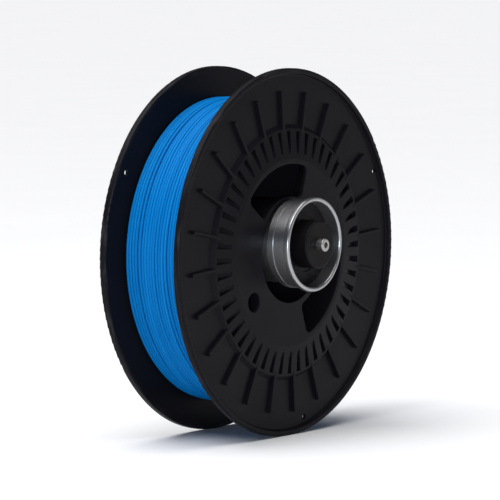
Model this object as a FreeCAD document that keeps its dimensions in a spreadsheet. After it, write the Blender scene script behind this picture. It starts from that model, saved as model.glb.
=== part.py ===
"""Filament spool hanging on the ball-raced hub that carries it.

Millimetres, +Z up. The hub turns about the Y axis and the near side faces -Y. The origin is
on that axis, at the shoulder of the mounting boss. Every sub-part is drawn about the spool's
middle plane, with its own axis on Y, and its Placement then puts it in the assembly.
Angles on a flange are turned from its axis of symmetry, which passes through the drive hole.
"""
import FreeCAD, Part
import math
import os
import re

import Sketcher
from FreeCAD import Placement, Rotation, Vector

SIZES = {
    # Where the pieces sit.
    "spool_mid": 36.5,
    "hang_gap": 0.3,
    "symmetry_angle": 54.5,
    # Flange.
    "rim_radius": 100.0,
    "lip_inner_radius": 97.2,
    "lip_foot_radius": 96.6,
    "lip_face": 26.5,
    "web_face": 24.3,
    "inner_face": 22.5,
    "plateau_radius": 51.0,
    "plateau_face": 27.5,
    "plateau_back": 25.5,
    "dish_radius": 67.4,
    "dish_foot_radius": 69.6,
    "dish_face": 26.2,
    "bore_radius": 27.0,
    "rim_fillet": 0.9,
    "edge_fillet": 0.5,
    # Long ribs and short slots on the flange.
    "rib_count": 24,
    "rib_start": 62.5,
    "rib_end": 87.8,
    "rib_width": 1.9,
    "rib_face": 26.5,
    "rib_root": 0.5,
    "rib_bevel": 0.3,
    "rib_draft": 0.1,
    "rib_turn": 1.4,
    "slot_count": 48,
    "slot_middle": 60.2,
    "slot_length": 11.6,
    "slot_width_in": 2.0,
    "slot_width_out": 3.3,
    "slot_depth": 1.6,
    "slot_tilt": 17.0,
    "slot_turn": -2.35,
    "mouth_bevel": 0.25,
    # Windows and holes in the flange.
    "window_inner": 30.5,
    "window_outer": 48.3,
    "window_from": 36.0,
    "window_to": 107.0,
    "window_fillet": 3.5,
    "drive_hole_radius": 5.2,
    "drive_hole_at": 42.0,
    "drive_sleeve_radius": 6.8,
    "drive_sleeve_length": 4.0,
    "tie_hole_radius": 1.6,
    "tie_hole_at": 93.3,
    "tie_hole_first": 10.5,
    "tie_hole_second": 115.0,
    # Drum, bore tube and winding.
    "drum_inner": 50.0,
    "drum_outer": 52.0,
    "drum_seat": 1.0,
    "drum_fit": 0.05,
    "wall_thickness": 1.6,
    "wall_half_length": 21.0,
    "wall_gap": 0.1,
    "wall_setback": 1.6,
    "wall_far_angle": 155.0,
    "bore_tube_outer": 29.0,
    "winding_radius": 83.6,
    "winding_round": 1.6,
    # Hub shell.
    "hub_radius": 21.5,
    "hub_inner": 19.0,
    "hub_front": -43.5,
    "hub_rear": 31.0,
    "hub_collar_radius": 24.0,
    "hub_collar_back": -28.4,
    "hub_recess_radius": 23.3,
    "hub_recess_floor": -34.0,
    "hub_lip_radius": 25.6,
    "hub_lip_width": 2.6,
    "hub_lip_round": 0.8,
    "hub_groove_at": -33.0,
    "hub_groove_width": 0.9,
    "hub_groove_depth": 0.5,
    "hub_lead_in": 1.2,
    # Dust cap in the hub's recess.
    "cap_radius": 23.25,
    "cap_hole_radius": 8.7,
    "cap_thickness": 1.5,
    "cap_rib_inner": 15.5,
    "cap_rib_outer": 17.0,
    "cap_rib_height": 0.6,
    # Ball bearings, 12 x 28 x 8, and their carriers.
    "front_bearing_at": -29.0,
    "rear_bearing_at": 20.0,
    "bearing_bore": 6.0,
    "bearing_outer": 14.0,
    "bearing_half_width": 4.0,
    "inner_race_shoulder": 8.4,
    "outer_race_shoulder": 11.6,
    "shield_seat_radius": 12.2,
    "shield_seat_depth": 0.5,
    "shield_thickness": 0.4,
    "shield_gap": 0.3,
    "pitch_radius": 10.0,
    "ball_radius": 2.38,
    "ball_count": 8,
    "race_clearance": 0.07,
    "cage_inner": 9.0,
    "cage_outer": 11.0,
    "cage_half_width": 3.1,
    "cage_pocket_radius": 2.5,
    "carrier_shoulder_radius": 12.6,
    "carrier_shoulder": 1.5,
    "carrier_face": 0.5,
    "carrier_relief_radius": 17.4,
    "carrier_relief_inner": 15.4,
    "carrier_relief_depth": 2.0,
    # Axle and what is fastened to it.
    "axle_front": -40.0,
    "axle_rear": 27.5,
    "axle_bore": 2.05,
    "axle_bore_end": -24.0,
    "axle_lead_in": 0.6,
    "spacer_outer": 8.0,
    "boss_radius": 13.0,
    "boss_front": -46.5,
    "boss_collar_radius": 8.0,
    "boss_edge": 0.8,
    "screw_head_radius": 3.5,
    "screw_head_height": 4.0,
    "screw_socket_flats": 3.0,
    "screw_socket_depth": 2.2,
    "screw_shank_radius": 2.0,
    "screw_length": 20.0,
    "screw_clearance": 2.25,
    "ring_groove_radius": 5.5,
    "ring_outer": 7.8,
    "ring_thickness": 1.1,
    "ring_opening": 5.0,
}

SHEET_NAME = "sizes"
CUT_START = 2.0    # how far above a face a straight cut starts

HUB_PLACE = {"Placement.Base.y": "spool_mid"}
SPOOL_PLACE = {
    "Placement.Base.y": "spool_mid",
    "Placement.Base.z": "hub_radius + hang_gap - bore_radius",
}

doc = FreeCAD.newDocument("filament_spool")


def fill_sheet():
    """Write every driving size to the spreadsheet, one row each."""
    sheet = doc.addObject("Spreadsheet::Sheet", SHEET_NAME)
    for row, (alias, value) in enumerate(SIZES.items(), start=1):
        sheet.set(f"A{row}", alias)
        sheet.set(f"B{row}", str(value))
        sheet.setAlias(f"B{row}", alias)
    doc.recompute()
    return sheet


sheet = fill_sheet()


def with_sizes(formula):
    """Turn a formula of size names into an expression on the spreadsheet."""
    return re.sub(r"[a-z_]+",
                  lambda found: f"{SHEET_NAME}.{found[0]}" if found[0] in SIZES else found[0],
                  formula)


def value_of(formula):
    """The number that a formula of size names comes to."""
    result = sheet.evalExpression(with_sizes(formula))
    return float(getattr(result, "Value", result))


def bind(target, **formulas):
    """Bind properties of an object to formulas of size names."""
    for name, formula in formulas.items():
        target.setExpression(name, with_sizes(formula))


# ---------------------------------------------------------------- drawing helpers

def new_body(label, place):
    """Start a sub-part's body and bind its place in the assembly."""
    body = doc.addObject("PartDesign::Body", label)
    body.Label = label
    bind(body, **place)
    return body


def new_sketch(body, name, role, offset=None):
    """Start a sketch on one of the body's own origin planes."""
    sketch = body.newObject("Sketcher::SketchObject", f"{body.Label}_{name}")
    plane = next(item for item in body.Origin.OriginFeatures if item.Role == role)
    sketch.AttachmentSupport = [(plane, "")]
    sketch.MapMode = "FlatFace"
    if offset is not None:
        sketch.AttachmentOffset = offset
    return sketch


def pin_point(sketch, line, formulas):
    """Fix the start of a line at a place given by two formulas."""
    for kind, axis, formula in zip(("DistanceX", "DistanceY"), (-2, -1), formulas):
        if value_of(formula) == 0:
            sketch.addConstraint(Sketcher.Constraint("PointOnObject", line, 1, axis))
            continue
        number = sketch.addConstraint(
            Sketcher.Constraint(kind, -1, 1, line, 1, value_of(formula)))
        sketch.setExpression(f"Constraints[{number}]", with_sizes(formula))


def draw_polygon(sketch, points):
    """Draw a closed outline whose corners are pairs of formulas."""
    corners = [Vector(value_of(across), value_of(along), 0) for across, along in points]
    first = sketch.GeometryCount
    for index, corner in enumerate(corners):
        following = corners[(index + 1) % len(corners)]
        sketch.addGeometry(Part.LineSegment(corner, following), False)
    for index in range(len(corners)):
        following = first + (index + 1) % len(corners)
        sketch.addConstraint(Sketcher.Constraint("Coincident", first + index, 2, following, 1))
    for index, formulas in enumerate(points):
        pin_point(sketch, first + index, formulas)


def draw_circle(sketch, across, along, radius):
    """Draw a circle whose centre and radius are formulas."""
    centre = Vector(value_of(across), value_of(along), 0)
    circle = sketch.addGeometry(Part.Circle(centre, Vector(0, 0, 1), value_of(radius)), False)
    number = sketch.addConstraint(Sketcher.Constraint("Radius", circle, value_of(radius)))
    sketch.setExpression(f"Constraints[{number}]", with_sizes(radius))
    for kind, axis, formula in zip(("DistanceX", "DistanceY"), (-2, -1), (across, along)):
        if value_of(formula) == 0:
            sketch.addConstraint(Sketcher.Constraint("PointOnObject", circle, 3, axis))
            continue
        number = sketch.addConstraint(
            Sketcher.Constraint(kind, -1, 1, circle, 3, value_of(formula)))
        sketch.setExpression(f"Constraints[{number}]", with_sizes(formula))


def revolve(body, outline):
    """Add a solid turned about Y from an outline of (radius, along Y) formulas."""
    sketch = new_sketch(body, "outline", "XY_Plane")
    draw_polygon(sketch, outline)
    turned = body.newObject("PartDesign::Revolution", f"{body.Label}_turned")
    turned.Profile = sketch
    turned.ReferenceAxis = (sketch, ["V_Axis"])
    turned.Angle = 360
    doc.recompute()


def groove(body, outline, name):
    """Turn an outline of (radius, along Y) formulas away from the body."""
    sketch = new_sketch(body, name + "_outline", "XY_Plane")
    draw_polygon(sketch, outline)
    cut = body.newObject("PartDesign::Groove", f"{body.Label}_{name}")
    cut.Profile = sketch
    cut.ReferenceAxis = (sketch, ["V_Axis"])
    cut.Angle = 360
    doc.recompute()


def pocket(body, sketch, name, depth=None):
    """Cut a sketch into the body, to a depth or right through."""
    cut = body.newObject("PartDesign::Pocket", f"{body.Label}_{name}")
    cut.Profile = sketch
    if depth is None:
        cut.Type = 1
    else:
        bind(cut, Length=depth)
    doc.recompute()
    return cut


def polar(body, features, count, name):
    """Repeat features round the body's Y axis."""
    axis = next(item for item in body.Origin.OriginFeatures if item.Role == "Y_Axis")
    pattern = body.newObject("PartDesign::PolarPattern", f"{body.Label}_{name}")
    pattern.Originals = features
    pattern.Axis = (axis, [""])
    pattern.Angle = 360
    bind(pattern, Occurrences=count)
    body.Tip = pattern
    doc.recompute()


def fillet(body, radius, name, choose):
    """Round the edges of the body's tip that a test picks out."""
    base = body.Tip
    edges = [f"Edge{number}" for number, edge in enumerate(base.Shape.Edges, start=1)
             if choose(edge)]
    rounded = body.newObject("PartDesign::Fillet", f"{body.Label}_{name}")
    rounded.Base = (base, edges)
    bind(rounded, Radius=radius)
    doc.recompute()


def chamfer(body, size, name, choose):
    """Bevel the edges of the body's tip that a test picks out."""
    base = body.Tip
    edges = [f"Edge{number}" for number, edge in enumerate(base.Shape.Edges, start=1)
             if choose(edge)]
    cut = body.newObject("PartDesign::Chamfer", f"{body.Label}_{name}")
    cut.Base = (base, edges)
    bind(cut, Size=size)
    doc.recompute()


def ring_edge(radius, along):
    """A test for the circular edge about Y with this radius and place along Y."""
    def test(edge):
        curve = edge.Curve
        return (curve.TypeId == "Part::GeomCircle"
                and abs(curve.Radius - value_of(radius)) < 0.02
                and abs(curve.Center.y - value_of(along)) < 0.02
                and math.hypot(curve.Center.x, curve.Center.z) < 0.02)
    return test


def any_of(*tests):
    """A test that passes when one of several does."""
    return lambda edge: any(test(edge) for test in tests)


# ---------------------------------------------------------------- spool

def cut_window(body, name, start, end):
    """Cut one curved window with rounded corners through the flange's centre."""
    sketch = new_sketch(body, name, "XZ_Plane")
    turns = [math.radians(90 - value_of(end)), math.radians(90 - value_of(start))]
    for radius in ("window_outer", "window_inner"):
        circle = Part.Circle(Vector(), Vector(0, 0, 1), value_of(radius))
        arc = sketch.addGeometry(Part.ArcOfCircle(circle, *turns), False)
        sketch.addConstraint(Sketcher.Constraint("Coincident", arc, 3, -1, 1))
        number = sketch.addConstraint(Sketcher.Constraint("Radius", arc, value_of(radius)))
        sketch.setExpression(f"Constraints[{number}]", with_sizes(radius))
    outer, inner = 0, 1
    for end_point, turn, formula in ((1, turns[0], end), (2, turns[1], start)):
        direction = Vector(math.cos(turn), math.sin(turn), 0)
        near_end = direction * value_of("window_inner")
        far_end = direction * value_of("window_outer")
        side = sketch.addGeometry(Part.LineSegment(near_end, far_end), False)
        sketch.addConstraint(Sketcher.Constraint("Coincident", side, 1, inner, end_point))
        sketch.addConstraint(Sketcher.Constraint("Coincident", side, 2, outer, end_point))
        number = sketch.addConstraint(Sketcher.Constraint("Angle", side, turn))
        sketch.setExpression(f"Constraints[{number}]", f"(90 - {with_sizes(formula)}) * 1 deg")
    cut = body.newObject("PartDesign::Pocket", f"{body.Label}_{name}_cut")
    cut.Profile = sketch
    cut.Type = 1
    cut.Reversed = True
    doc.recompute()


def window_corner(edge):
    """A test for the short straight edges along Y at the windows' corners."""
    if edge.Curve.TypeId != "Part::GeomLine" or abs(edge.Curve.Direction.y) < 0.99:
        return False
    point = edge.CenterOfMass
    reach = math.hypot(point.x, point.z)
    return min(abs(reach - value_of("window_inner")), abs(reach - value_of("window_outer"))) < 0.1


def window_rim(edge):
    """A test for the windows' and drive hole's outlines on the outer face."""
    box = edge.BoundBox
    on_face = max(abs(box.YMin + value_of("plateau_face")),
                  abs(box.YMax + value_of("plateau_face"))) < 0.02
    middle = edge.CenterOfMass
    reach = math.hypot(middle.x, middle.z)
    return on_face and value_of("bore_radius") + 0.5 < reach < value_of("plateau_radius") - 1.0


def build_flange(label, turned_round):
    """Mould one flange: outer face towards -Y, axis of symmetry along +Z."""
    body = new_body(label, SPOOL_PLACE)
    turn = Rotation(Vector(0, 1, 0), value_of("symmetry_angle"))
    if turned_round:
        turn = turn * Rotation(Vector(0, 0, 1), 180)
    body.Placement = Placement(body.Placement.Base, turn)
    revolve(body, [
        ("bore_radius", "-1 * plateau_face"),
        ("plateau_radius", "-1 * plateau_face"),
        ("dish_radius", "-1 * dish_face"),
        ("dish_foot_radius", "-1 * web_face"),
        ("lip_foot_radius", "-1 * web_face"),
        ("lip_inner_radius", "-1 * lip_face"),
        ("rim_radius", "-1 * lip_face"),
        ("rim_radius", "-1 * inner_face"),
        ("drum_outer + drum_fit", "-1 * inner_face"),
        ("drum_outer + drum_fit", "-1 * (inner_face + drum_seat)"),
        ("drum_inner", "-1 * (inner_face + drum_seat)"),
        ("drum_inner", "-1 * plateau_back"),
        ("bore_radius", "-1 * plateau_back"),
    ])
    fillet(body, "rim_fillet", "rim_rounding", any_of(
        ring_edge("rim_radius", "-1 * lip_face"), ring_edge("rim_radius", "-1 * inner_face")))
    fillet(body, "edge_fillet", "face_rounding", any_of(
        ring_edge("lip_inner_radius", "-1 * lip_face"),
        ring_edge("lip_foot_radius", "-1 * web_face"),
        ring_edge("bore_radius", "-1 * plateau_face")))

    sleeve = new_sketch(body, "sleeve", "XZ_Plane",
                        Placement(Vector(0, 0, value_of("plateau_back")), Rotation()))
    draw_circle(sleeve, "0", "-1 * drive_hole_at", "drive_sleeve_radius")
    pad = body.newObject("PartDesign::Pad", f"{label}_drive_sleeve")
    pad.Profile = sleeve
    pad.Reversed = True
    bind(pad, Length="drive_sleeve_length")
    doc.recompute()

    cut_window(body, "right_window", "window_from", "window_to")
    cut_window(body, "left_window", "-1 * window_to", "-1 * window_from")
    fillet(body, "window_fillet", "window_corners", window_corner)

    hole = new_sketch(body, "drive_hole", "XZ_Plane",
                      Placement(Vector(0, 0, value_of("plateau_face")), Rotation()))
    draw_circle(hole, "0", "-1 * drive_hole_at", "drive_hole_radius")
    pocket(body, hole, "drive_hole_cut", "plateau_face - inner_face + drive_sleeve_length")
    fillet(body, "edge_fillet", "opening_rounding", window_rim)

    ties = new_sketch(body, "tie_holes", "XZ_Plane",
                      Placement(Vector(0, 0, value_of("lip_face")), Rotation()))
    for angle in ("tie_hole_first", "tie_hole_second"):
        draw_circle(ties, f"tie_hole_at * sin({angle} * 1 deg)",
                    f"tie_hole_at * cos({angle} * 1 deg)", "tie_hole_radius")
    pocket(body, ties, "tie_holes_cut", "lip_face - inner_face + 1")

    raise_ribs(body)
    cut_slots(body)
    return body


def grown_box(half_width_in, half_width_out, start, end, growth):
    """The outline of a straight-sided mouth, grown on every side."""
    return [
        (f"-1 * ({half_width_in} + {growth})", f"{start} - {growth}"),
        (f"{half_width_in} + {growth}", f"{start} - {growth}"),
        (f"{half_width_out} + {growth}", f"{end} + {growth}"),
        (f"-1 * ({half_width_out} + {growth})", f"{end} + {growth}"),
    ]


def cut_mouth(body, name, surface, wall_tilt, depth, half_widths, ends):
    """Cut one radial recess through a surface, and bevel its mouth.

    surface is the placement of the mouth on the flange; the walls lean wall_tilt degrees off
    the surface's normal. Returns both features, to be repeated round the flange.
    """
    lean = Rotation(Vector(1, 0, 0), -wall_tilt)
    above = Placement(Vector(0, 0, CUT_START), Rotation())
    walls = new_sketch(body, name, "XZ_Plane", surface * Placement(Vector(), lean) * above)
    draw_polygon(walls, grown_box(*half_widths, *ends, "0"))
    recess = pocket(body, walls, f"first_{name}", f"{CUT_START} + {depth}")

    above = Placement(Vector(0, 0, value_of("mouth_bevel")), Rotation())
    mouth = new_sketch(body, f"{name}_mouth", "XZ_Plane", surface * above)
    draw_polygon(mouth, grown_box(*half_widths, *ends, "2 * mouth_bevel"))
    bevel = pocket(body, mouth, f"first_{name}_bevel", "2 * mouth_bevel")
    bevel.TaperAngle = -45
    doc.recompute()
    return [recess, bevel]


def raise_ribs(body):
    """The long ribs on the web, level with the rim's lip, with drafted sides and bevelled tops."""
    root = "-1 * (web_face - rib_root)"
    bevel_start = "-1 * (rib_face - rib_bevel)"
    half = "0.5 * rib_width"
    turn = Rotation(Vector(0, 1, 0), value_of("rib_turn"))
    start = turn.multVec(Vector(0, 0, value_of("rib_start")))
    sketch = new_sketch(body, "rib", "XY_Plane", Placement(start, turn))
    draw_polygon(sketch, [
        (f"-1 * {half} - rib_draft", root),
        (f"-1 * {half}", bevel_start),
        (f"-1 * {half} + rib_bevel", "-1 * rib_face"),
        (f"{half} - rib_bevel", "-1 * rib_face"),
        (half, bevel_start),
        (f"{half} + rib_draft", root),
    ])
    rib = body.newObject("PartDesign::Pad", f"{body.Label}_first_rib")
    rib.Profile = sketch
    bind(rib, Length="rib_end - rib_start")
    doc.recompute()
    polar(body, [rib], "rib_count", "ribs")


def cut_slots(body):
    """The short slots in the sloping face, wider and deeper at their outer ends."""
    fall = value_of("(plateau_face - dish_face) / (dish_radius - plateau_radius)")
    height = value_of("plateau_face") - fall * value_of("slot_middle - plateau_radius")
    face_tilt = math.degrees(math.atan(fall))
    surface = Placement(Vector(0, value_of("slot_middle"), height),
                        Rotation(Vector(1, 0, 0), -face_tilt))
    surface = Placement(Vector(), Rotation(Vector(0, 0, 1), -value_of("slot_turn"))) * surface
    half_widths = ("0.5 * slot_width_in", "0.5 * slot_width_out")
    features = cut_mouth(body, "slot", surface, value_of("slot_tilt") - face_tilt, "slot_depth",
                         half_widths, ("-0.5 * slot_length", "0.5 * slot_length"))
    polar(body, features, "slot_count", "slots")


def build_drum():
    """The tube that carries the winding, with walls that reach in to the bore tube."""
    body = new_body("winding_drum", SPOOL_PLACE)
    body.Placement = Placement(body.Placement.Base,
                               Rotation(Vector(0, 1, 0), value_of("symmetry_angle")))
    revolve(body, [
        ("drum_inner", "-1 * (inner_face + drum_seat)"),
        ("drum_outer", "-1 * (inner_face + drum_seat)"),
        ("drum_outer", "inner_face + drum_seat"),
        ("drum_inner", "inner_face + drum_seat"),
    ])
    right_side = [value_of("window_from - wall_setback"), value_of("window_to + wall_setback"),
                  value_of("wall_far_angle")]
    left_side = [-angle for angle in right_side]
    for number, angle in enumerate(right_side + left_side, start=1):
        wall = body.newObject("PartDesign::AdditiveBox", f"winding_drum_wall_{number}")
        bind(wall, Length="wall_thickness", Width="2 * wall_half_length",
             Height="drum_inner + 1 - bore_tube_outer - wall_gap")
        corner = Vector(-0.5 * value_of("wall_thickness"), -value_of("wall_half_length"),
                        value_of("bore_tube_outer + wall_gap"))
        turn = Rotation(Vector(0, 1, 0), angle)
        wall.Placement = Placement(turn.multVec(corner), turn)
        doc.recompute()
    return body


def build_bore_tube():
    """The inner tube between the two flanges' bores."""
    body = new_body("bore_tube", SPOOL_PLACE)
    revolve(body, [
        ("bore_radius", "-1 * plateau_back"),
        ("bore_tube_outer", "-1 * plateau_back"),
        ("bore_tube_outer", "plateau_back"),
        ("bore_radius", "plateau_back"),
    ])
    return body


def build_winding():
    """The filament wound on the drum, as one closed ring between the flanges."""
    body = new_body("filament_winding", SPOOL_PLACE)
    revolve(body, [
        ("drum_outer", "-1 * inner_face"),
        ("winding_radius - winding_round", "-1 * inner_face"),
        ("winding_radius", "-1 * (inner_face - winding_round)"),
        ("winding_radius", "inner_face - winding_round"),
        ("winding_radius - winding_round", "inner_face"),
        ("drum_outer", "inner_face"),
    ])
    return body


# ---------------------------------------------------------------- hub

def build_hub_shell():
    """The polished tube that the spool hangs on; its wider collar keeps the spool from the arm."""
    body = new_body("hub_shell", HUB_PLACE)
    lip_back = "hub_front + hub_lip_width"
    revolve(body, [
        ("hub_recess_radius", "hub_front"),
        ("hub_lip_radius", "hub_front"),
        ("hub_lip_radius", lip_back),
        ("hub_collar_radius", f"{lip_back} + hub_lip_radius - hub_collar_radius"),
        ("hub_collar_radius", "hub_collar_back"),
        ("hub_radius", "hub_collar_back"),
        ("hub_radius", "hub_rear"),
        ("hub_inner", "hub_rear"),
        ("hub_inner", "hub_recess_floor"),
        ("hub_recess_radius", "hub_recess_floor"),
    ])
    groove(body, [
        ("hub_collar_radius - hub_groove_depth", "hub_groove_at"),
        ("hub_collar_radius + 1", "hub_groove_at"),
        ("hub_collar_radius + 1", "hub_groove_at + hub_groove_width"),
        ("hub_collar_radius - hub_groove_depth", "hub_groove_at + hub_groove_width"),
    ], "groove")
    fillet(body, "hub_lip_round", "lip_rounding", any_of(
        ring_edge("hub_recess_radius", "hub_front"), ring_edge("hub_lip_radius", "hub_front"),
        ring_edge("hub_lip_radius", lip_back)))
    fillet(body, "edge_fillet", "collar_rounding", ring_edge("hub_collar_radius", "hub_collar_back"))
    chamfer(body, "hub_lead_in", "lead_in", ring_edge("hub_radius", "hub_rear"))
    return body


def build_dust_cap():
    """The disc pressed into the hub's recess, with a stiffening ring on its near face."""
    body = new_body("front_dust_cap", HUB_PLACE)
    face = "hub_recess_floor - cap_thickness"
    revolve(body, [
        ("cap_hole_radius", "hub_recess_floor"),
        ("cap_hole_radius", face),
        ("cap_rib_inner", face),
        ("cap_rib_inner", f"{face} - cap_rib_height"),
        ("cap_rib_outer", f"{face} - cap_rib_height"),
        ("cap_rib_outer", face),
        ("cap_radius", face),
        ("cap_radius", "hub_recess_floor"),
    ])
    return body


def build_carrier(label, centre, inward):
    """A ring that holds a bearing in the shell; its shoulder is on the inward side."""
    body = new_body(label, HUB_PLACE)
    face = f"{centre} - {inward} * (bearing_half_width + carrier_face)"
    relief = f"{centre} - {inward} * (bearing_half_width + carrier_face - carrier_relief_depth)"
    stop = f"{centre} + {inward} * bearing_half_width"
    back = f"{centre} + {inward} * (bearing_half_width + carrier_shoulder)"
    revolve(body, [
        ("bearing_outer", face),
        ("carrier_relief_inner", face),
        ("carrier_relief_inner", relief),
        ("carrier_relief_radius", relief),
        ("carrier_relief_radius", face),
        ("hub_inner", face),
        ("hub_inner", back),
        ("carrier_shoulder_radius", back),
        ("carrier_shoulder_radius", stop),
        ("bearing_outer", stop),
    ])
    return body


def build_inner_race(label, centre):
    """A bearing's inner race, with the groove that its balls run in."""
    body = new_body(label, HUB_PLACE)
    revolve(body, [
        ("bearing_bore", f"{centre} - bearing_half_width"),
        ("inner_race_shoulder", f"{centre} - bearing_half_width"),
        ("inner_race_shoulder", f"{centre} + bearing_half_width"),
        ("bearing_bore", f"{centre} + bearing_half_width"),
    ])
    cut_ball_track(body, centre)
    return body


def build_outer_race(label, centre):
    """A bearing's outer race, with its ball groove and a seat for each shield."""
    body = new_body(label, HUB_PLACE)
    seat = "(bearing_half_width - shield_seat_depth)"
    revolve(body, [
        ("bearing_outer", f"{centre} - bearing_half_width"),
        ("bearing_outer", f"{centre} + bearing_half_width"),
        ("shield_seat_radius", f"{centre} + bearing_half_width"),
        ("shield_seat_radius", f"{centre} + {seat}"),
        ("outer_race_shoulder", f"{centre} + {seat}"),
        ("outer_race_shoulder", f"{centre} - {seat}"),
        ("shield_seat_radius", f"{centre} - {seat}"),
        ("shield_seat_radius", f"{centre} - bearing_half_width"),
    ])
    cut_ball_track(body, centre)
    return body


def cut_ball_track(body, centre):
    """Turn a round groove, a little larger than the balls, away from a race."""
    track = new_sketch(body, "track", "XY_Plane")
    draw_circle(track, "pitch_radius", centre, "ball_radius + race_clearance")
    cut = body.newObject("PartDesign::Groove", f"{body.Label}_track_cut")
    cut.Profile = track
    cut.ReferenceAxis = (track, ["V_Axis"])
    cut.Angle = 360
    doc.recompute()


def placed_copy(shape, label):
    """Keep a shape made with Part's own functions as a sub-part of the hub."""
    piece = doc.addObject("Part::Feature", label)
    piece.Label = label
    piece.Shape = shape
    piece.Placement = Placement(Vector(0, value_of("spool_mid"), 0), Rotation())
    return piece


def build_shields(label, centre):
    """The two thin discs that close a bearing, held in the outer race."""
    outer = value_of("shield_seat_radius")
    inner = value_of("inner_race_shoulder + shield_gap")
    thickness = value_of("shield_thickness")
    seat = value_of("bearing_half_width - shield_seat_depth")
    discs = []
    for along in (value_of(centre) + seat, value_of(centre) - seat - thickness):
        base = Vector(0, along, 0)
        disc = Part.makeCylinder(outer, thickness, base, Vector(0, 1, 0))
        hole = Part.makeCylinder(inner, thickness, base, Vector(0, 1, 0))
        discs.append(disc.cut(hole))
    return placed_copy(Part.makeCompound(discs), label)


def ball_directions():
    """Unit vectors from the axis to each ball of a bearing."""
    count = int(value_of("ball_count"))
    turns = [2 * math.pi * number / count for number in range(count)]
    return [Vector(math.sin(turn), 0, math.cos(turn)) for turn in turns]


def build_cage(label, centre):
    """The ring that spaces a bearing's balls, with a round pocket for each."""
    half = value_of("cage_half_width")
    base = Vector(0, value_of(centre) - half, 0)
    ring = Part.makeCylinder(value_of("cage_outer"), 2 * half, base, Vector(0, 1, 0))
    ring = ring.cut(Part.makeCylinder(value_of("cage_inner"), 2 * half, base, Vector(0, 1, 0)))
    middle = Vector(0, value_of(centre), 0)
    for direction in ball_directions():
        drill = Part.makeCylinder(value_of("cage_pocket_radius"),
                                  value_of("cage_outer + 1"), middle, direction)
        ring = ring.cut(drill)
    return placed_copy(ring, label)


def build_balls(label, centre):
    """The balls of one bearing, as separate solids."""
    middle = Vector(0, value_of(centre), 0)
    pitch = value_of("pitch_radius")
    balls = [Part.makeSphere(value_of("ball_radius"), middle + direction * pitch)
             for direction in ball_directions()]
    return placed_copy(Part.makeCompound(balls), label)


# ---------------------------------------------------------------- axle

def build_axle():
    """The fixed spindle, threaded for the screw, with a groove for the retaining ring."""
    body = new_body("axle", HUB_PLACE)
    ring_start = "rear_bearing_at + bearing_half_width"
    revolve(body, [
        ("axle_bore", "axle_front"),
        ("bearing_bore - axle_lead_in", "axle_front"),
        ("bearing_bore", "axle_front + axle_lead_in"),
        ("bearing_bore", ring_start),
        ("ring_groove_radius", ring_start),
        ("ring_groove_radius", f"{ring_start} + ring_thickness"),
        ("bearing_bore", f"{ring_start} + ring_thickness"),
        ("bearing_bore", "axle_rear - axle_lead_in"),
        ("bearing_bore - axle_lead_in", "axle_rear"),
        ("0", "axle_rear"),
        ("0", "axle_bore_end"),
        ("axle_bore", "axle_bore_end"),
    ])
    return body


def build_spacer():
    """The tube that keeps the two inner races apart."""
    body = new_body("bearing_spacer", HUB_PLACE)
    start = "front_bearing_at + bearing_half_width"
    end = "rear_bearing_at - bearing_half_width"
    revolve(body, [
        ("bearing_bore", start), ("spacer_outer", start),
        ("spacer_outer", end), ("bearing_bore", end),
    ])
    return body


def build_boss():
    """The round end that a holder grips, with a collar down to the front bearing."""
    body = new_body("mounting_boss", HUB_PLACE)
    shoulder = "-1 * spool_mid"
    collar_end = "front_bearing_at - bearing_half_width"
    revolve(body, [
        ("screw_clearance", "boss_front"),
        ("boss_radius", "boss_front"),
        ("boss_radius", shoulder),
        ("boss_collar_radius", shoulder),
        ("boss_collar_radius", collar_end),
        ("bearing_bore", collar_end),
        ("bearing_bore", "axle_front"),
        ("screw_clearance", "axle_front"),
    ])
    fillet(body, "boss_edge", "front_rounding", ring_edge("boss_radius", "boss_front"))
    return body


def build_screw():
    """A socket-head cap screw that clamps the boss to the axle."""
    body = new_body("cap_screw", HUB_PLACE)
    revolve(body, [
        ("0", "boss_front - screw_head_height"),
        ("screw_head_radius", "boss_front - screw_head_height"),
        ("screw_head_radius", "boss_front"),
        ("screw_shank_radius", "boss_front"),
        ("screw_shank_radius", "boss_front + screw_length"),
        ("0", "boss_front + screw_length"),
    ])
    fillet(body, "edge_fillet", "head_rounding",
           ring_edge("screw_head_radius", "boss_front - screw_head_height"))
    top = Placement(Vector(0, 0, -value_of("boss_front - screw_head_height")), Rotation())
    socket = new_sketch(body, "socket", "XZ_Plane", top)
    corner = "screw_socket_flats / sqrt(3)"
    draw_polygon(socket, [
        (corner, "0"),
        (f"0.5 * {corner}", "0.5 * screw_socket_flats"),
        (f"-0.5 * {corner}", "0.5 * screw_socket_flats"),
        (f"-1 * {corner}", "0"),
        (f"-0.5 * {corner}", "-0.5 * screw_socket_flats"),
        (f"0.5 * {corner}", "-0.5 * screw_socket_flats"),
    ])
    pocket(body, socket, "socket_cut", "screw_socket_depth")
    return body


def build_retaining_ring():
    """The open ring in the axle's groove, behind the rear bearing."""
    start = value_of("rear_bearing_at + bearing_half_width")
    thickness = value_of("ring_thickness")
    base = Vector(0, start, 0)
    ring = Part.makeCylinder(value_of("ring_outer"), thickness, base, Vector(0, 1, 0))
    ring = ring.cut(Part.makeCylinder(value_of("ring_groove_radius"), thickness, base,
                                      Vector(0, 1, 0)))
    opening = value_of("ring_opening")
    ring = ring.cut(Part.makeBox(opening, thickness, value_of("ring_outer"),
                                 Vector(-0.5 * opening, start, -value_of("ring_outer"))))
    return placed_copy(ring, "retaining_ring")


# ---------------------------------------------------------------- assembly

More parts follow.
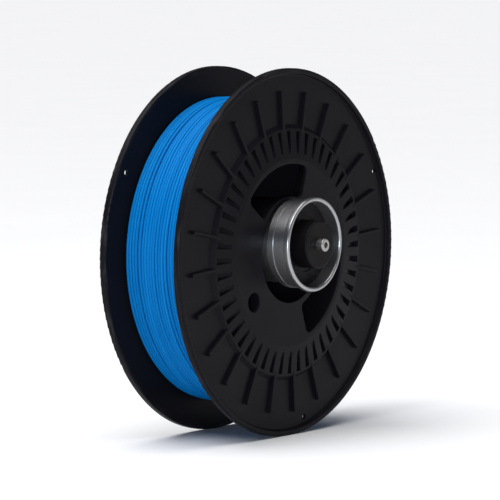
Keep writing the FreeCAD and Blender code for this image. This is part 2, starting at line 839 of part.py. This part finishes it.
def build_all():
    """Build every sub-part and return them in the order of the parts list."""
    pieces = [
        build_flange("front_flange", False),
        build_flange("rear_flange", True),
        build_drum(),
        build_bore_tube(),
        build_winding(),
        build_hub_shell(),
        build_dust_cap(),
    ]
    for side, inward in (("front", 1), ("rear", -1)):
        centre = f"{side}_bearing_at"
        pieces += [
            build_carrier(f"{side}_bearing_carrier", centre, inward),
            build_outer_race(f"{side}_outer_race", centre),
            build_inner_race(f"{side}_inner_race", centre),
            build_shields(f"{side}_bearing_shields", centre),
            build_cage(f"{side}_bearing_cage", centre),
            build_balls(f"{side}_bearing_balls", centre),
        ]
    pieces += [
        build_axle(),
        build_spacer(),
        build_boss(),
        build_screw(),
        build_retaining_ring(),
    ]
    return pieces


def check(pieces):
    """Stop if any object failed to build or any sub-part's shape is unsound."""
    doc.recompute()
    for item in doc.Objects:
        if {"Invalid", "Error"} & set(item.State):
            raise RuntimeError(f"{item.Label} did not build: {item.State}")
    for piece in pieces:
        if piece.Shape.isNull() or not piece.Shape.isValid():
            raise RuntimeError(f"{piece.Label} has an unsound shape")


pieces = build_all()
check(pieces)
os.makedirs("parts", exist_ok=True)
for piece in pieces:
    piece.Shape.exportStep(f"parts/{piece.Label}.step")
    box = piece.Shape.BoundBox
    print(f"{piece.Label}: {len(piece.Shape.Solids)} solid(s), {piece.Shape.Volume / 1000:.3f} cm3, "
          f"X {box.XMin:.1f}..{box.XMax:.1f} Y {box.YMin:.1f}..{box.YMax:.1f} "
          f"Z {box.ZMin:.1f}..{box.ZMax:.1f}")
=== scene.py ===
"""A filament spool on its ball-raced hub, dressed for a studio picture.

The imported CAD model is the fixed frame. This script gives its pieces their materials, winds
real strands of filament on the drum in place of the plain CAD ring, and sets up the floor,
the lights and the camera. Metres; +Z up; the near side faces -Y.
"""

import math
import random

import bpy
import numpy as np
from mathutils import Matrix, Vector


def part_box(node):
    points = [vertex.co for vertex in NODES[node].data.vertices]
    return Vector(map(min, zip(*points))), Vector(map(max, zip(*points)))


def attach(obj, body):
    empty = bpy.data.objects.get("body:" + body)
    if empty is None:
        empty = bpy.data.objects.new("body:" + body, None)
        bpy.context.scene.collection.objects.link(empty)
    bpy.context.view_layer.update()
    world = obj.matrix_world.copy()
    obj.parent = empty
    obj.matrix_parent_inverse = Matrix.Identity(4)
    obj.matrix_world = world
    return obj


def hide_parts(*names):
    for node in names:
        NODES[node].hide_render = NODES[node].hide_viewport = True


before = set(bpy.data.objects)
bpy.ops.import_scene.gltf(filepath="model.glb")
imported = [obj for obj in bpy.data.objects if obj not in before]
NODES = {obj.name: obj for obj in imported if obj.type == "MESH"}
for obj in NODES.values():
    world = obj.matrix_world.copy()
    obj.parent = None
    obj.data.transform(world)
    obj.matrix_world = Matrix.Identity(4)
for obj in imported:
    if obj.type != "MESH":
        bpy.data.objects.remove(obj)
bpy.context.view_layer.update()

MM = 0.001

# The spool, measured on the frame.
FRONT_LOW, FRONT_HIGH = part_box("front_flange")
REAR_LOW, REAR_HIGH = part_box("rear_flange")
SPOOL_RADIUS = (FRONT_HIGH.x - FRONT_LOW.x) / 2
SPOOL_CENTRE = Vector((0, (FRONT_LOW.y + REAR_HIGH.y) / 2, (FRONT_LOW.z + FRONT_HIGH.z) / 2))
HUB_LOW, HUB_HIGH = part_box("hub_shell")
HUB_CENTRE = (HUB_LOW + HUB_HIGH) / 2
WINDING_LOW, WINDING_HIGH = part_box("filament_winding")
WINDING_RADIUS = (WINDING_HIGH.x - WINDING_LOW.x) / 2
WINDING_WIDTH = WINDING_HIGH.y - WINDING_LOW.y
DRUM_LOW, DRUM_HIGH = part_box("winding_drum")
DRUM_RADIUS = (DRUM_HIGH.x - DRUM_LOW.x) / 2

# Filament: 1.75 mm strand, wound in closely packed layers.
STRAND_RADIUS = 0.875 * MM
TURNS = 23
STEPS_PER_TURN = 240
STRAND_SIDES = 10
FIRST_TURN_AT = math.radians(135)
LAYER_RISE = 2 * STRAND_RADIUS * math.cos(math.radians(30))
TOP_CLEARANCE = 0.25 * MM
UNEVENNESS = 0.14 * MM

# How the slack of the top layer is shared out: a little everywhere, more where a gap opens.
EVEN_SLACK = 0.03
GAP_THRESHOLD = 0.35
SLACK_STEPS_PER_TURN = 40

# The ridged core below the top layer.
RIDGE_STEPS = 6
RIDGE_ARC = 0.86 * math.pi
CORE_SEGMENTS = 180
# The core's tone is set lower than the top layer's: painted shade where it shows between the
# strands.
CORE_PAINTED_SHADE_TONE = 0.35

# Stage.
FLOOR_HALF_WIDTH = 14.0
WORLD_TINT = (0.80, 0.84, 0.90)
WORLD_LIGHT = 0.10
WORLD_BACKDROP = 1.05

# Camera: where it stands from the middle of the spool.
CAMERA_FROM_SPOOL = Vector((-1.746, -1.264, 0.189))
LENS = 285.0
CLIP_NEAR, CLIP_FAR = 0.05, 60.0


# ---------------------------------------------------------------- helpers

def link(name, data):
    """Put a new object with this data into the scene."""
    obj = bpy.data.objects.new(name, data)
    bpy.context.scene.collection.objects.link(obj)
    return obj


def aim(obj, place, target):
    """Put an object at a place, looking at a target."""
    obj.location = place
    obj.rotation_mode = "QUATERNION"
    obj.rotation_quaternion = (Vector(target) - Vector(place)).to_track_quat("-Z", "Y")


def colour(red, green, blue):
    """An opaque linear colour."""
    return (red, green, blue, 1.0)


class Shader:
    """One material's node tree, with short names for the nodes that this scene uses."""

    def __init__(self, name):
        self.material = bpy.data.materials.new(name)
        self.material.use_nodes = True
        self.tree = self.material.node_tree
        self.surface = self.tree.nodes["Principled BSDF"]

    def add(self, kind, inputs=None, **settings):
        """Add a node, set its settings, and link or set its inputs."""
        node = self.tree.nodes.new("ShaderNode" + kind)
        for name, value in settings.items():
            setattr(node, name, value)
        for key, value in (inputs or {}).items():
            self.put(node.inputs[key], value)
        return node

    def put(self, socket, value):
        """Link an output to a socket, or set the socket to a plain value."""
        if isinstance(value, bpy.types.NodeSocket):
            self.tree.links.new(value, socket)
        else:
            socket.default_value = value

    def maths(self, operation, *values):
        """The result of one mathematical operation."""
        return self.add("Math", dict(enumerate(values)), operation=operation).outputs[0]

    def noise(self, vector, scale, detail=3.0):
        """Smooth noise from 0 to 1."""
        inputs = {"Vector": vector, "Scale": scale, "Detail": detail}
        return self.add("TexNoise", inputs).outputs["Fac"]

    def fit(self, value, low, high, new_low, new_high):
        """Map a range of values smoothly on to another, held at its ends."""
        return self.add("MapRange", {"Value": value, "From Min": low, "From Max": high,
                                     "To Min": new_low, "To Max": new_high},
                        interpolation_type="SMOOTHSTEP").outputs["Result"]

    def blend(self, share, first, second):
        """Mix two colours."""
        node = self.add("Mix", data_type="RGBA")
        self.put(node.inputs["Factor"], share)
        self.put(node.inputs["A"], first)
        self.put(node.inputs["B"], second)
        return node.outputs["Result"]

    def join(self, across, along, up):
        """A vector from three numbers."""
        return self.add("CombineXYZ", {"X": across, "Y": along, "Z": up}).outputs[0]

    def turned(self, centre):
        """Where a point is on a turned piece: from its centre, and as radius, turn and Y."""
        point = self.add("TexCoord").outputs["Object"]
        offset = self.add("VectorMath", {0: point, 1: centre}, operation="SUBTRACT").outputs[0]
        parts = self.add("SeparateXYZ", {0: offset}).outputs
        square = self.maths("ADD", self.maths("MULTIPLY", parts["X"], parts["X"]),
                            self.maths("MULTIPLY", parts["Z"], parts["Z"]))
        turn = self.maths("ARCTAN2", parts["X"], parts["Z"])
        return offset, self.maths("SQRT", square), turn, parts["Y"]

    def bump(self, height, depth, normal=None):
        """Raise the surface by a height field whose full range is depth metres."""
        inputs = {"Height": height, "Distance": depth, "Strength": 1.0}
        if normal is not None:
            inputs["Normal"] = normal
        return self.add("Bump", inputs).outputs["Normal"]

    def gloss(self, level):
        """Set how strongly a surface that isn't metal reflects."""
        self.surface.inputs["Specular IOR Level"].default_value = level

    def finish(self, **inputs):
        """Set the main shader's inputs and return the material."""
        for name, value in inputs.items():
            self.put(self.surface.inputs[name.replace("_", " ")], value)
        return self.material


# ---------------------------------------------------------------- materials

def black_plastic():
    """Satin moulded black: fine spark grain, faint flow rings, rubbed rims."""
    shader = Shader("black_plastic")
    point, radius, turn, along = shader.turned(SPOOL_CENTRE)
    grain = shader.noise(point, 2600.0, detail=2.0)
    clouds = shader.noise(point, 32.0, detail=4.0)
    rings = shader.noise(shader.join(shader.maths("MULTIPLY", radius, 900.0), 0.0, 0.0), 1.0)
    scuffs = shader.noise(shader.join(shader.maths("MULTIPLY", turn, 3.0),
                                      shader.maths("MULTIPLY", radius, 260.0),
                                      shader.maths("MULTIPLY", along, 260.0)), 2.0, detail=6.0)
    rim = shader.fit(radius, SPOOL_RADIUS - 3.2 * MM, SPOOL_RADIUS, 0.0, 1.0)
    rub = shader.maths("MULTIPLY", rim, shader.fit(scuffs, 0.5, 0.68, 0.0, 1.0))
    base = shader.blend(clouds, colour(0.0048, 0.0044, 0.0062), colour(0.0072, 0.0068, 0.0088))
    base = shader.blend(shader.maths("MULTIPLY", rub, 0.5), base, colour(0.034, 0.034, 0.037))
    rough = shader.maths("ADD", shader.fit(clouds, 0.3, 0.7, 0.30, 0.40),
                         shader.maths("MULTIPLY", rings, 0.05))
    rough = shader.maths("ADD", rough, shader.maths("MULTIPLY", rub, 0.15))
    normal = shader.bump(grain, 0.008 * MM)
    normal = shader.bump(rings, 0.006 * MM, normal)
    shader.gloss(0.07)
    return shader.finish(Base_Color=base, Roughness=rough, Normal=normal)


def blue_filament():
    """Satin extruded azure, a little translucent, with fine drawing marks."""
    shader = Shader("blue_filament")
    point = shader.add("TexCoord").outputs["Object"]
    strand = shader.add("Attribute", attribute_name="strand").outputs["Vector"]
    parts = shader.add("SeparateXYZ", {0: strand}).outputs
    length, around, tone = parts["X"], parts["Y"], parts["Z"]
    marks = shader.noise(shader.join(shader.maths("MULTIPLY", length, 9.0),
                                     shader.maths("MULTIPLY", around, 5.0), tone), 6.0, detail=4.0)
    patches = shader.noise(point, 60.0, detail=3.0)
    # The core's lower tone is painted shade in the gaps; the top layer's tone varies at random.
    share = shader.maths("ADD", shader.maths("MULTIPLY", tone, 0.6),
                         shader.maths("MULTIPLY", patches, 0.4))
    base = shader.blend(share, colour(0.0008, 0.122, 0.385), colour(0.0020, 0.190, 0.510))
    rough = shader.fit(marks, 0.3, 0.7, 0.34, 0.48)
    normal = shader.bump(marks, 0.012 * MM)
    shader.gloss(0.05)
    shader.surface.subsurface_method = "RANDOM_WALK"
    return shader.finish(Base_Color=base, Roughness=rough, Normal=normal, Subsurface_Weight=0.12,
                         Subsurface_Radius=(0.4, 0.7, 1.0), Subsurface_Scale=0.6 * MM)


def turned_metal(name, tint, rough, mark_depth, spread=0.0):
    """Metal turned on a lathe: marks run round the axis, and spread highlights along it.

    A roughness of 0.275 or more keeps the renderer's noise filter from leaving patches.
    """
    shader = Shader(name)
    shader.surface.inputs["Anisotropic"].default_value = spread
    if spread:
        shader.surface.inputs["Anisotropic Rotation"].default_value = 0.25
        tangent = shader.add("Tangent", direction_type="RADIAL", axis="Y")
        shader.put(shader.surface.inputs["Tangent"], tangent.outputs["Tangent"])
    point, radius, turn, along = shader.turned(HUB_CENTRE)
    across = shader.maths("ADD", along, radius)
    fine = shader.noise(shader.join(shader.maths("MULTIPLY", across, 2600.0),
                                    shader.maths("MULTIPLY", turn, 0.3), 0.0), 1.0, detail=2.0)
    broad = shader.noise(shader.join(shader.maths("MULTIPLY", across, 420.0),
                                     shader.maths("MULTIPLY", turn, 0.2), 3.0), 1.0, detail=2.0)
    smears = shader.noise(point, 55.0, detail=3.0)
    dull = tuple(0.88 * part for part in tint)
    base = shader.blend(shader.fit(smears, 0.35, 0.7, 0.0, 1.0), colour(*tint), colour(*dull))
    roughness = shader.maths("ADD", shader.fit(smears, 0.3, 0.7, rough, rough * 1.18),
                             shader.maths("MULTIPLY", broad, 0.05))
    normal = shader.bump(fine, mark_depth)
    normal = shader.bump(broad, mark_depth, normal)
    return shader.finish(Base_Color=base, Roughness=roughness, Normal=normal, Metallic=1.0)


def ball_steel():
    """Ground and lapped steel with a thin film of grease."""
    shader = Shader("bearing_steel")
    point = shader.add("TexCoord").outputs["Object"]
    film = shader.noise(point, 400.0, detail=3.0)
    base = shader.blend(film, colour(0.56, 0.57, 0.59), colour(0.44, 0.45, 0.46))
    return shader.finish(Base_Color=base, Roughness=shader.fit(film, 0.3, 0.7, 0.10, 0.22),
                         Normal=shader.bump(film, 0.002 * MM), Metallic=1.0)


def powder_coat():
    """Satin black powder coat with orange peel."""
    shader = Shader("boss_black")
    point = shader.add("TexCoord").outputs["Object"]
    peel = shader.noise(point, 1300.0, detail=2.0)
    clouds = shader.noise(point, 140.0, detail=3.0)
    base = shader.blend(clouds, colour(0.0040, 0.0035, 0.0040), colour(0.0065, 0.0058, 0.0065))
    shader.gloss(0.08)
    return shader.finish(Base_Color=base, Roughness=shader.fit(clouds, 0.3, 0.7, 0.34, 0.46),
                         Normal=shader.bump(peel, 0.012 * MM))


def moulded_cap():
    """Matt black moulding of the hub's dust cap, with turned sink rings and a little dust."""
    shader = Shader("dust_cap")
    point, radius, *_ = shader.turned(HUB_CENTRE)
    rings = shader.noise(shader.join(shader.maths("MULTIPLY", radius, 1500.0), 0.0, 0.0), 1.0)
    dust = shader.noise(point, 320.0, detail=5.0)
    base = shader.blend(shader.fit(dust, 0.5, 0.8, 0.0, 0.6),
                        colour(0.0050, 0.0048, 0.0055), colour(0.015, 0.014, 0.014))
    shader.gloss(0.16)
    return shader.finish(Base_Color=base, Roughness=shader.fit(dust, 0.3, 0.7, 0.42, 0.60),
                         Normal=shader.bump(rings, 0.010 * MM))


def floor_material():
    """Plain pale paper, with a barely visible tooth."""
    shader = Shader("floor_paper")
    point = shader.add("TexCoord").outputs["Object"]
    tooth = shader.noise(point, 9.0, detail=4.0)
    base = shader.blend(tooth, colour(0.79, 0.79, 0.80), colour(0.82, 0.82, 0.83))
    shader.gloss(0.0)
    return shader.finish(Base_Color=base, Roughness=0.9)


def paint_cad_nodes():
    """Give every CAD node that stays in view its material."""
    plastic = black_plastic()
    cap = moulded_cap()
    hub = turned_metal("polished_hub", (0.47, 0.47, 0.48), 0.285, 0.0012 * MM, 0.65)
    carrier = turned_metal("carrier_metal", (0.62, 0.62, 0.64), 0.30, 0.008 * MM)
    shield = turned_metal("shield_steel", (0.50, 0.50, 0.52), 0.28, 0.003 * MM)
    cage = turned_metal("cage_brass", (0.72, 0.52, 0.22), 0.30, 0.005 * MM)
    axle = turned_metal("axle_steel", (0.58, 0.58, 0.60), 0.285, 0.003 * MM)
    screw = turned_metal("screw_steel", (0.45, 0.44, 0.43), 0.285, 0.002 * MM)
    ring = turned_metal("ring_steel", (0.10, 0.10, 0.11), 0.38, 0.004 * MM)
    balls = ball_steel()
    boss = powder_coat()
    finishes = {
        "front_flange": plastic, "rear_flange": plastic, "winding_drum": plastic,
        "bore_tube": plastic, "hub_shell": hub, "front_dust_cap": cap, "axle": axle,
        "bearing_spacer": carrier, "mounting_boss": boss, "cap_screw": screw,
        "retaining_ring": ring,
    }
    for side in ("front", "rear"):
        finishes[f"{side}_bearing_carrier"] = carrier
        finishes[f"{side}_outer_race"] = balls
        finishes[f"{side}_inner_race"] = balls
        finishes[f"{side}_bearing_shields"] = shield
        finishes[f"{side}_bearing_cage"] = cage
        finishes[f"{side}_bearing_balls"] = balls
    for name, material in finishes.items():
        NODES[name].material_slots[0].material = material


# ---------------------------------------------------------------- filament

def smooth_field(seed, waves_around, waves_across, harmonics):
    """A smooth random function of turn (periodic) and place across the winding."""
    source = random.Random(seed)
    terms = []
    for _ in range(harmonics):
        around = source.randint(0, waves_around)
        across = source.uniform(0.2, waves_across)
        terms.append((around, across, source.uniform(0, 2 * math.pi), source.gauss(0, 1)))
    scale = 1 / math.sqrt(sum(weight * weight for *_, weight in terms))

    def field(turn, place):
        total = 0
        for around, across, phase, weight in terms:
            total = total + weight * np.sin(around * turn + across * place + phase)
        return scale * total * math.sqrt(2)
    return field


def filament_piece(name, points, faces, marks, material):
    """A smooth filament mesh; marks give each point's length, side and tone on its strand."""
    mesh = bpy.data.meshes.new(name)
    mesh.from_pydata(points, [], faces)
    mesh.polygons.foreach_set("use_smooth", [True] * len(mesh.polygons))
    attribute = mesh.attributes.new("strand", "FLOAT_VECTOR", "POINT")
    attribute.data.foreach_set("vector", np.asarray(marks, np.float32).ravel())
    mesh.update()
    mesh.materials.append(material)
    return link(name, mesh)


def sweep_strand(name, centres, tones, lengths, material):
    """A round strand swept along its centreline, closed at both ends."""
    count = len(centres)
    tangents = np.gradient(centres, axis=0)
    tangents /= np.linalg.norm(tangents, axis=1)[:, None]
    outward = centres - np.array(SPOOL_CENTRE)
    outward[:, 1] = 0
    outward -= (outward * tangents).sum(1)[:, None] * tangents
    outward /= np.linalg.norm(outward, axis=1)[:, None]
    sideways = np.cross(tangents, outward)
    angles = np.arange(STRAND_SIDES) * 2 * math.pi / STRAND_SIDES
    ring = (outward[:, None, :] * np.cos(angles)[None, :, None]
            + sideways[:, None, :] * np.sin(angles)[None, :, None])
    points = (centres[:, None, :] + STRAND_RADIUS * ring).reshape(-1, 3)
    faces = []
    for step in range(count - 1):
        for side in range(STRAND_SIDES):
            other = (side + 1) % STRAND_SIDES
            faces.append((step * STRAND_SIDES + side, step * STRAND_SIDES + other,
                          (step + 1) * STRAND_SIDES + other, (step + 1) * STRAND_SIDES + side))
    first = list(range(STRAND_SIDES))
    last = [(count - 1) * STRAND_SIDES + side for side in range(STRAND_SIDES)]
    faces.append(tuple(reversed(first)))
    faces.append(tuple(last))
    marks = np.stack([np.repeat(lengths, STRAND_SIDES),
                      np.tile(np.cos(angles), count), np.repeat(tones, STRAND_SIDES)], axis=1)
    return filament_piece(name, points.tolist(), faces, marks, material)


def wind_top_layer(material):
    """The outer layer: one long strand laid turn beside turn, with uneven gaps."""
    gaps = smooth_field(11, 2, 5.0, 24)
    lift = smooth_field(23, 4, 2.2, 16)
    tone = smooth_field(37, 2, 4.0, 12)
    slack = WINDING_WIDTH - 2 * STRAND_RADIUS * (TURNS + 1)
    places = np.arange(TURNS * SLACK_STEPS_PER_TURN + 1) / SLACK_STEPS_PER_TURN
    turns = np.arange(TURNS * STEPS_PER_TURN + 1) / STEPS_PER_TURN
    centres = np.zeros((len(turns), 3))
    radius = WINDING_RADIUS - STRAND_RADIUS - TOP_CLEARANCE
    for step in range(STEPS_PER_TURN):
        angle = FIRST_TURN_AT + 2 * math.pi * step / STEPS_PER_TURN
        density = EVEN_SLACK + np.maximum(0, gaps(angle, places) - GAP_THRESHOLD) ** 2
        spread = np.concatenate([[0], np.cumsum((density[1:] + density[:-1]) / 2)])
        spread *= slack / spread[-1]
        chosen = np.arange(step, len(turns), STEPS_PER_TURN)
        along = 2 * STRAND_RADIUS * turns[chosen] + np.interp(turns[chosen], places, spread)
        rise = UNEVENNESS * lift(angle, turns[chosen])
        centres[chosen, 0] = (radius + rise) * math.sin(angle)
        centres[chosen, 1] = WINDING_LOW.y + STRAND_RADIUS + along
        centres[chosen, 2] = (radius + rise) * math.cos(angle)
    centres[:, 2] += SPOOL_CENTRE.z
    lengths = turns * 2 * math.pi * radius
    tones = 0.5 + 0.22 * tone(2 * math.pi * turns, turns)
    return sweep_strand("filament_top_layer", centres, tones, lengths, material)


def wind_core(material):
    """The layers beneath: a ring carrying the ridges of the turns below, painted darker as shade.
    """
    ridge_top = WINDING_RADIUS - TOP_CLEARANCE - LAYER_RISE
    pitch = (WINDING_WIDTH - 2 * STRAND_RADIUS) / TURNS
    profile = [(DRUM_RADIUS, -WINDING_WIDTH / 2)]
    for ridge in range(TURNS):
        middle = -WINDING_WIDTH / 2 + STRAND_RADIUS + (ridge + 0.5) * pitch
        for step in range(RIDGE_STEPS + 1):
            angle = RIDGE_ARC * (step / RIDGE_STEPS - 0.5)
            profile.append((ridge_top - STRAND_RADIUS * (1 - math.cos(angle)),
                            middle + STRAND_RADIUS * math.sin(angle)))
    profile.append((DRUM_RADIUS, WINDING_WIDTH / 2))
    points = []
    for segment in range(CORE_SEGMENTS):
        angle = 2 * math.pi * segment / CORE_SEGMENTS
        for radius, along in profile:
            points.append((radius * math.sin(angle), SPOOL_CENTRE.y + along,
                           SPOOL_CENTRE.z + radius * math.cos(angle)))
    count = len(profile)
    faces = []
    for segment in range(CORE_SEGMENTS):
        following = (segment + 1) % CORE_SEGMENTS
        for index in range(count):
            after = (index + 1) % count
            faces.append((segment * count + index, segment * count + after,
                          following * count + after, following * count + index))
    marks = [(math.atan2(x, z) * ridge_top, 1.0, CORE_PAINTED_SHADE_TONE) for x, _, z in points]
    return filament_piece("filament_core", points, faces, marks, material)


def wind_filament():
    """Replace the plain CAD ring with wound strands."""
    material = blue_filament()
    for piece in (wind_top_layer(material), wind_core(material)):
        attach(piece, "spool")
        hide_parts("filament_winding")


# ---------------------------------------------------------------- stage

def add_softbox(name, place, width, height, power, tint):
    """A soft rectangular light aimed at the spool."""
    light = bpy.data.lights.new(name, "AREA")
    light.shape = "RECTANGLE"
    light.size = width
    light.size_y = height
    light.energy = power
    light.color = tint
    aim(link(name, light), SPOOL_CENTRE + Vector(place), SPOOL_CENTRE)


def build_floor():
    """A wide pale floor just under the rims."""
    half = FLOOR_HALF_WIDTH
    low = min(FRONT_LOW.z, REAR_LOW.z)
    corners = [(-half, -half, low), (half, -half, low), (half, half, low), (-half, half, low)]
    mesh = bpy.data.meshes.new("floor")
    mesh.from_pydata(corners, [], [(0, 1, 2, 3)])
    mesh.materials.append(floor_material())
    link("floor", mesh)


def add_dome_light(strength, spread):
    """Very soft light from almost straight above, even over the whole floor."""
    light = bpy.data.lights.new("dome", "SUN")
    light.energy = strength
    light.angle = math.radians(spread)
    aim(link("dome", light), SPOOL_CENTRE + Vector((-0.3, 0.2, 2.0)), SPOOL_CENTRE)


def build_world():
    """A pale backdrop that lights the spool only faintly."""
    world = bpy.data.worlds.new("studio")
    world.use_nodes = True
    nodes, links = world.node_tree.nodes, world.node_tree.links
    background = nodes["Background"]
    background.inputs["Color"].default_value = colour(*WORLD_TINT)
    rays = nodes.new("ShaderNodeLightPath")
    strength = nodes.new("ShaderNodeMapRange")
    strength.inputs["To Min"].default_value = WORLD_LIGHT
    strength.inputs["To Max"].default_value = WORLD_BACKDROP
    links.new(rays.outputs["Is Camera Ray"], strength.inputs["Value"])
    links.new(strength.outputs["Result"], background.inputs["Strength"])
    bpy.context.scene.world = world


def build_light():
    """Soft light from overhead, a softbox at the upper left and a small one for the hub."""
    build_world()
    add_dome_light(3.3, 70.0)
    add_softbox("softbox", (-1.1, 0.1, 1.5), 1.2, 0.9, 14.0, (0.97, 0.98, 1.0))
    add_softbox("hub_spark", (-2.6, -1.85, 0.12), 0.35, 0.30, 40.0, (0.80, 0.89, 1.0))


def build_camera():
    """The camera at the reference viewing angle, aimed at the middle of the spool."""
    data = bpy.data.cameras.new("camera")
    data.lens = LENS
    data.clip_start = CLIP_NEAR
    data.clip_end = CLIP_FAR
    camera = link("camera", data)
    aim(camera, SPOOL_CENTRE + CAMERA_FROM_SPOOL, SPOOL_CENTRE)
    bpy.context.scene.camera = camera


paint_cad_nodes()
wind_filament()
build_floor()
build_light()
build_camera()
bpy.context.scene.view_settings.view_transform = "Standard"
